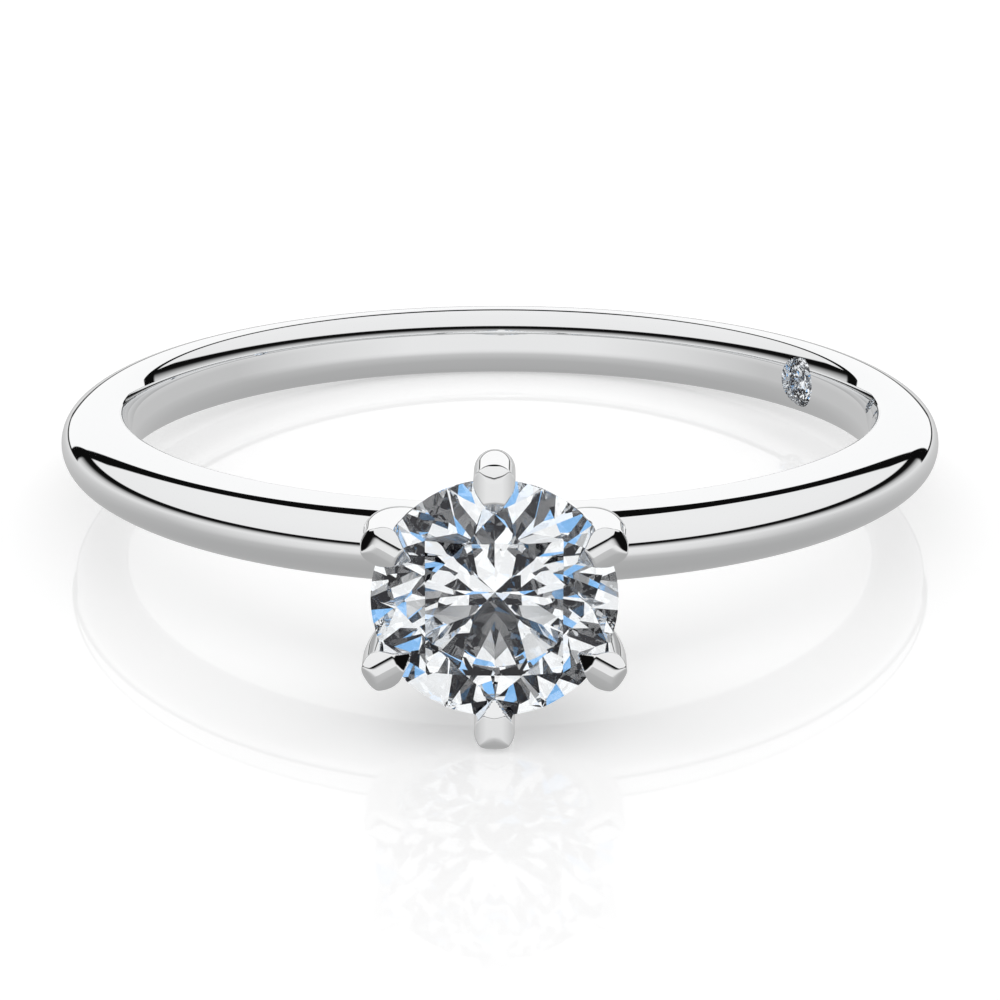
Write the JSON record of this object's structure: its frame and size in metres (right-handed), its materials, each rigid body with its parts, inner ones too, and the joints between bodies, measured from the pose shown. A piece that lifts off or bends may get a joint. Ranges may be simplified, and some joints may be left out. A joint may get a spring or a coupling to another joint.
{
  "type": "solitaire engagement ring",
  "caption": "Slim polished solitaire ring: comfort-fit band, claw head on a ball collet holding a round brilliant diamond, and a small diamond set inside the band.",
  "frame": {"origin": "centre of the finger hole, on the band's middle plane", "axes": "+Z along the finger, the centre stone faces -Y, +X completes the right-handed frame"},
  "size_m": [0.02, 0.0234, 0.0058],
  "materials": {
    "white_gold": "mirror polish, rhodium plated white gold",
    "diamond": "polished facets"
  },
  "bodies": {
    "root": {"shank": "white_gold", "base_collet": "white_gold", "peg": "white_gold", "gallery_rail": "white_gold", "claw_12_oclock": "white_gold", "claw_2_oclock": "white_gold", "claw_4_oclock": "white_gold", "claw_6_oclock": "white_gold", "claw_8_oclock": "white_gold", "claw_10_oclock": "white_gold", "center_stone": "diamond", "accent_stone": "diamond"}
  },
  "joints": []
}
